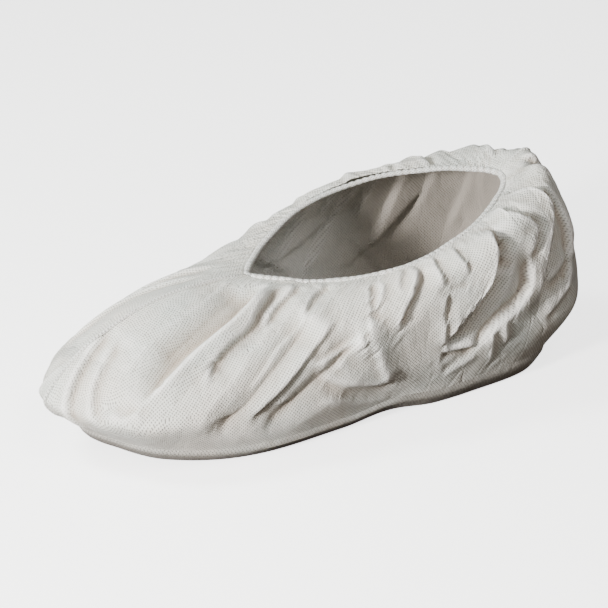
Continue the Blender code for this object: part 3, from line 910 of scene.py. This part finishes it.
def upper_fields(cloth, smooth, rows, inside):
    """What the material reads at the outer points, and then at the inner points: painted shade and
    highlights, and crumples.
    """
    depth = ((cloth - smooth) * normals(smooth, rows)).sum(2)
    # painted shade in the troughs of the folds
    valley = smoothstep(-softened(depth, VALLEY_PASSES) / VALLEY_DEPTH)
    sharp = softened(bend(cloth, smooth, rows), BEND_PASSES)
    # the inner face gets painted light towards the toe and painted shade at the heel
    toward_toe = beyond(inside[..., 0], DARK_INSIDE_TO, DARK_INSIDE_FADE)
    around, along = np.abs(turns(len(cloth)))[:, None], rows[None, :]
    at_heel = beyond(around, *CRUMPLED_HEEL)
    at_toe = short_of(around, *CRUMPLED_TOE) * beyond(along, *CRUMPLED_LOW)
    at_collar = np.exp(-along / COLLAR_CRUMPLES) * beyond(around, *CRUMPLED_SIDE)
    most = np.maximum(np.maximum(at_heel, at_toe), at_collar)
    crumpled = CRUMPLED_LEAST + (1 - CRUMPLED_LEAST) * most
    outer_and_inner = {
        "valley": (valley, valley[:, ::2] * INNER_VALLEY),
        # painted highlight on sharp ridges and on the inner face towards the toe
        "painted_highlight": (np.clip(sharp / FULL_BEND, 0, 1), toward_toe),
        # painted shade in sharp grooves
        "groove_shade": (np.clip(-sharp / FULL_BEND, 0, 1), 0 * toward_toe),
        # painted shade on the inner face of the heel half
        "inside": (0 * valley, 1 - toward_toe),
        "crumpled": (crumpled, INNER_CRUMPLED * crumpled[:, ::2]),
    }
    return {name: np.concatenate([part.ravel() for part in both]) for name, both in outer_and_inner.items()}


def build_upper(cloth, smooth, rows, material):
    """The cloth with its thickness: outer face, inner face on every other row, and edges."""
    inside = (cloth - CLOTH * normals(cloth, rows))[:, ::2]
    points = np.concatenate([cloth.reshape(-1, 3), inside.reshape(-1, 3)])
    numbers = np.arange(cloth[..., 0].size).reshape(cloth.shape[:2])
    within = np.arange(inside[..., 0].size).reshape(inside.shape[:2]) + numbers.size
    after, within_after = np.roll(numbers, -1, 0), np.roll(within, -1, 0)
    outer_uv = loop_coordinates(smooth)
    first, second = outer_uv[:, ::2], outer_uv[:, 1::2]
    inner_uv = np.stack([first[:, :, 0], second[:, :, 1], second[:, :, 2], first[:, :, 3]], 2)
    faces = (
        grid_quads(numbers).reshape(-1, 4),
        grid_quads(within)[..., ::-1].reshape(-1, 4),
        np.stack([numbers[:, 0], after[:, 0], within_after[:, 0], within[:, 0]], -1),
        np.stack([after[:, -1], numbers[:, -1], within[:, -1], within_after[:, -1]], -1),
    )
    uvs = (
        outer_uv.reshape(-1, 4, 2),
        inner_uv[:, :, ::-1].reshape(-1, 4, 2),
        outer_uv[:, 0][:, [0, 3, 3, 0]],
        outer_uv[:, -1][:, [2, 1, 1, 2]],
    )
    add_piece(
        "upper_cloth", "upper_cloth", "upper", material,
        points, np.concatenate(faces), np.concatenate(uvs), upper_fields(cloth, smooth, rows, inside),
    )


def sole_margin(cloth, rows):
    """The lowest rows of the cloth at evenly spread columns, and their outward normals."""
    heel = heel_column(COLUMNS)
    even = 2 * np.arange(COLUMNS // 2) / (COLUMNS // 2)
    place = np.where(even <= 1, even * heel, heel + (even - 1) * (COLUMNS - heel))
    band_rows = np.array([1 - MARGIN_LAP, 1 - MARGIN_LAP / 2, 1.0])
    grids = (cloth, normals(cloth, rows))
    band, out = (resampled(between_columns(grid, place), rows, band_rows, 1) for grid in grids)
    return band, unit(out)


def sole_rings(band, out, offset, lift):
    """Rings of the turned-up edge, from its top round the corner to the underside."""
    rings = [band[:, k] + offset * share * out[:, k] for k, share in enumerate(SOLE_PROUD)]
    edge = rings[-1]
    ground = band[:, -1] + offset * out[:, -1] - unit(out[:, -1] * (1, 1, 0)) * SOLE_CORNER
    ground[:, 2] = floor_line(ground[:, 0]) + lift
    for share in CORNER_SHARES:
        corner = edge * (1 - share) + ground * share
        drop = 1 - (1 - share) ** CORNER_POWER
        corner[:, 2] = edge[:, 2] + (ground[:, 2] - edge[:, 2]) * drop
        rings.append(corner)
    return rings + [ground]


def sole_fields(points, flat_count, insole_count):
    """Painted shade: dark tones of the edge that shows below the upper, towards the ground and at the heel
    half, and on the insole.
    """
    height = points[:, 2] - floor_line(points[:, 0])
    # painted shade, darker towards the ground and at the heel half
    edge_shade = sum(share * short_of(height, stop, fade) for share, stop, fade in SOLE_EDGE_SHADE)
    share, stop, fade = HEEL_EDGE_SHADE
    edge_shade = np.maximum(edge_shade, share * short_of(points[:, 0], *HEEL_HALF) * short_of(height, stop, fade))
    edge_shade[-flat_count:] = UNDERSIDE_SHADE
    inside = 0 * edge_shade
    # painted shade on the insole
    inside[-insole_count:] = INSOLE_SHADE
    return {"valley": edge_shade, "inside": inside}


def build_sole(cloth, rows, material):
    """Sole panel: a turned-up edge that laps the upper, and a rippled underside."""
    band, out = sole_margin(cloth, rows)
    columns = len(band)
    outer = sole_rings(band, out, GAP + SOLE_CLOTH, 0)
    inner = sole_rings(band, out, GAP, SOLE_CLOTH)
    points, faces, uvs = [], [], []

    def add_band(first, second, v_first, v_second):
        numbers = np.arange(columns) + sum(len(part) for part in points)
        quads, quad_uvs = strip(numbers, numbers + columns, loop_lengths(first), v_first, v_second)
        points.extend((first, second))
        faces.extend(quads)
        uvs.extend(quad_uvs)

    height = 0.0
    for k in range(len(outer) - 1):
        step = float(np.linalg.norm(outer[k + 1] - outer[k], axis=1).mean())
        add_band(outer[k], outer[k + 1], -height, -height - step)
        add_band(inner[k + 1], inner[k], -height - step, -height)
        height += step
    add_band(inner[0], outer[0], 0.0, EDGE_V_STEP)

    half = columns // 2
    share = np.linspace(0, 1, FLAT_COLUMNS + 1)[None, :]
    ripple = np.abs(soft_noise((half + 1, FLAT_COLUMNS + 1), *RIPPLE))
    ripple *= np.sin(math.pi * share) ** RIPPLE_EDGE_POWER
    for ring, lifted, order in ((outer[-1], 0.0, 1), (inner[-1], SOLE_CLOTH, -1)):
        left, right = ring[: half + 1], ring[(-np.arange(half + 1)) % columns]
        grid = left[:, None] * (1 - share[..., None]) + right[:, None] * share[..., None]
        grid[:, :, 2] = floor_line(grid[:, :, 0]) + lifted + ripple
        flat = grid.reshape(-1, 3)
        quads = grid_quads(np.arange(len(flat)).reshape(grid.shape[:2]))[:-1].reshape(-1, 4)[:, ::order]
        faces.extend(quads + sum(len(part) for part in points))
        uvs.extend(flat[quads][..., :2])
        points.append(flat)
    fields = sole_fields(np.concatenate(points), 2 * len(flat), len(flat))
    piece = merged(np.concatenate(points), faces, uvs, fields)
    add_piece("sole_cloth", "sole_cloth", "sole", material, *piece, SOLE_SHARP_ANGLE)


def build_hem(material):
    """The hem over the elastic: a narrow tube with small puckers that pinch it."""
    edge, below = smooth_cloth(turns(HEM_COLUMNS), np.array([0.0, HEM_BELOW])).transpose(1, 0, 2)
    round_it = unit(np.roll(edge, -1, 0) - np.roll(edge, 1, 0))
    out = unit(np.cross(round_it, unit(edge - below)))
    up = unit(np.cross(out, round_it))
    lengths = loop_lengths(edge)
    phase = 2 * math.pi * np.round(lengths[-1] / PUCKER_PITCH) * lengths[:-1] / lengths[-1]
    pucker = 0.5 + 0.5 * np.cos(phase + PUCKER_SHIFT * loop_noise(HEM_COLUMNS, 64, 1.0, 31))
    varied = np.abs(loop_noise(HEM_COLUMNS, 40, 1.0, 33)).clip(0, 1)
    pinch = pucker**3 * (PINCH_LEAST + (1 - PINCH_LEAST) * varied)
    wobble = loop_noise(HEM_COLUMNS, 30, HEM_WOBBLE, 35)
    middle = edge + up * (ELASTIC_HEIGHT / 2 - HEM_SINK) + out * (wobble - CLOTH / 2)[:, None]
    rings = []
    for corner in range(HEM_CORNERS):
        angle = 2 * math.pi * corner / HEM_CORNERS
        lower = smoothstep(0.5 - 0.9 * math.sin(angle))
        width = ELASTIC_WIDTH / 2 * (1 - (PINCH_WIDTH + PINCH_LOWER_WIDTH * lower) * pinch)
        height = ELASTIC_HEIGHT / 2 * (1 - PINCH_HEIGHT * pinch)
        sideways, upward = math.cos(angle) * width, math.sin(angle) * height
        rings.append(middle + out * sideways[:, None] + up * upward[:, None])
    points = np.stack(rings, 1).reshape(-1, 3)
    faces, uvs = tube(HEM_COLUMNS, HEM_CORNERS, lengths, HEM_V_STEP, False)
    # painted shade in the pinches
    fields = {"valley": np.repeat(pinch * HEM_PINCH_SHADE, HEM_CORNERS)}
    add_piece("collar_hem", "collar_edging", "collar_elastic", material, points, faces, uvs, fields)


def build_seam(name, replaced, column, cloth, rows, material):
    """A welded centre seam: a narrow raised welt that follows the settled cloth."""
    picked = np.where((rows >= SEAM_FROM) & (rows <= SEAM_TO))[0]
    line = cloth[column, picked]
    ahead = unit(cloth[(column + 1) % len(cloth), picked] - cloth[(column - 1) % len(cloth), picked])
    up = normals(cloth, rows)[column, picked]
    fine = np.linspace(0, len(picked) - 1, (len(picked) - 1) * SEAM_STEPS + 1)
    line, ahead, up = (resampled(part, np.arange(len(picked)), fine, 0) for part in (line, ahead, up))
    up = unit(up)
    ahead = unit(ahead - up * (ahead * up).sum(1)[:, None])
    lengths = np.concatenate([[0], np.cumsum(np.linalg.norm(np.diff(line, axis=0), axis=1))])
    taper = smoothstep(np.minimum(lengths, lengths[-1] - lengths) / SEAM_TAPER)
    ribs = 0.5 + 0.5 * np.cos(2 * math.pi * lengths / SEAM_RIB_PITCH)
    width = SEAM_HALF * (SEAM_END_WIDTH + (1 - SEAM_END_WIDTH) * taper) * (1 - RIB_WIDTH * ribs)
    height = SEAM_FOOT + SEAM_RISE * taper * (1 - RIB_HEIGHT * ribs)
    rings = [line + ahead * (width * x)[:, None] + up * (height * z)[:, None] for x, z in SEAM_PROFILE]
    points = np.stack(rings, 1).reshape(-1, 3)
    size = len(SEAM_PROFILE)
    faces, uvs = tube(len(line), size, lengths, SEAM_V_STEP, True)
    faces += [range(size), range(len(points) - 1, len(points) - 1 - size, -1)]
    uvs += [[(0.0, k * SEAM_V_STEP) for k in range(size)]] * 2
    # painted shade in the dents of the weld
    fields = {"valley": np.repeat(ribs * SEAM_DENT_SHADE, size)}
    add_piece(name, "seam_cloth", replaced, material, points, faces, uvs, fields)


def build_floor():
    mesh = bpy.data.meshes.new("floor")
    signs = ((-1, -1), (1, -1), (1, 1), (-1, 1))
    corners = [(x * FLOOR_SIZE, y * FLOOR_SIZE, FLOOR_HEIGHT) for x, y in signs]
    mesh.from_pydata(corners, [], [(0, 1, 2, 3)])
    material = bpy.data.materials.new("pale_floor")
    material.use_nodes = True
    shader = material.node_tree.nodes["Principled BSDF"]
    for key, value in FLOOR_SHADER.items():
        shader.inputs[key].default_value = value
    mesh.materials.append(material)
    floor = add_object("floor", mesh)
    floor.visible_diffuse = False  # the pale floor doesn't light the cover from below
    floor.visible_glossy = False


def build_light():
    for light in LIGHTS:
        area = bpy.data.lights.new(light.name, "AREA")
        area.size = light.size
        area.energy = light.power
        area.color = light.colour
        aim(add_object(light.name, area), light.place, LIGHT_AIM)
    world = bpy.data.worlds.new("studio")
    bpy.context.scene.world = world
    world.use_nodes = True
    nodes, links = world.node_tree.nodes, world.node_tree.links
    background = nodes["Background"]
    background.inputs["Strength"].default_value = SKY_STRENGTH
    kinds = ("TexCoord", "SeparateXYZ", "ValToRGB")
    place, split, ramp = (nodes.new("ShaderNode" + kind) for kind in kinds)
    for element, (position, colour) in zip(ramp.color_ramp.elements, SKY):
        element.position = position
        element.color = (*colour, 1)
    links.new(place.outputs["Generated"], split.inputs[0])
    links.new(split.outputs["Z"], ramp.inputs[0])
    links.new(ramp.outputs[0], background.inputs["Color"])


def build_camera():
    back = Vector((math.sin(AZIMUTH), -math.cos(AZIMUTH), math.tan(ELEVATION))) * math.cos(ELEVATION)
    camera = add_object("camera", bpy.data.cameras.new("camera"))
    aim(camera, Vector(CAMERA_PIVOT) + back * CAMERA_DISTANCE, CAMERA_AIM)
    camera.data.lens = CAMERA_LENS
    camera.data.sensor_width = SENSOR_WIDTH
    bpy.context.scene.camera = camera


cloth, smooth, rows = relaxed_cloth()
build_upper(cloth, smooth, rows, cloth_material("nonwoven_cloth", WHITE))
build_sole(cloth, rows, cloth_material("sole_film", WHITE, SOLE_SHADE_COLOUR))
build_hem(cloth_material("hem_cloth", HEM_WHITE))
seam_material = cloth_material("seam_weld", SEAM_WHITE, dot_depth=DOT_DEPTH / 2)
build_seam("vamp_seam_weld", "vamp_seam", 0, cloth, rows, seam_material)
build_seam("heel_seam_weld", "heel_seam", heel_column(COLUMNS), cloth, rows, seam_material)
build_floor()
build_light()
build_camera()
